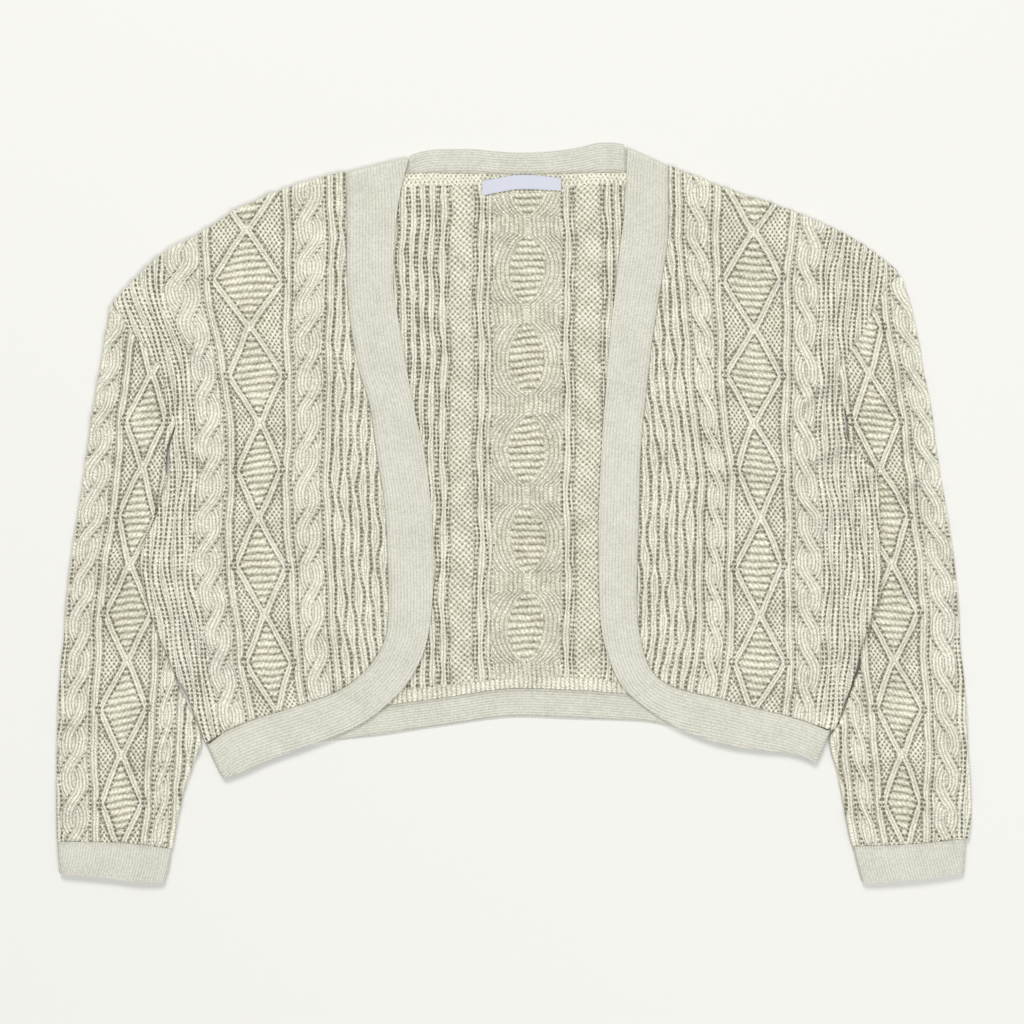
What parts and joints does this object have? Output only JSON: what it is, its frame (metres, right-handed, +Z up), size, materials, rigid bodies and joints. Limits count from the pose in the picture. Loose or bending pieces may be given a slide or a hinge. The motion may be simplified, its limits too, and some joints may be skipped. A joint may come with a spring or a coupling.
{
  "type": "cropped cardigan",
  "caption": "Cropped open-front cardigan of cable and diamond knit with a rib band, laid flat with its sleeves folded down beside the body.",
  "frame": {"origin": "middle of the laid-out cardigan on the surface that it rests on", "axes": "+X along the width towards the right sleeve as seen from above, +Y towards the neck, +Z up out of the surface"},
  "size_m": [0.6846, 0.5539, 0.0129],
  "materials": {
    "cable_knit": "matt cream cotton knit with cables and diamonds",
    "rib_knit": "matt cream cotton in a fine rib",
    "woven_label": "smooth pale blue-grey woven tape, blank"
  },
  "bodies": {
    "root": {"back_panel": "cable_knit", "front_left": "cable_knit", "front_right": "cable_knit", "sleeve_left": "cable_knit", "sleeve_right": "cable_knit", "cuff_left": "rib_knit", "cuff_right": "rib_knit", "front_band_left": "rib_knit", "front_band_right": "rib_knit", "neck_band": "rib_knit", "hem_band_back": "rib_knit", "neck_label": "woven_label"}
  },
  "joints": []
}
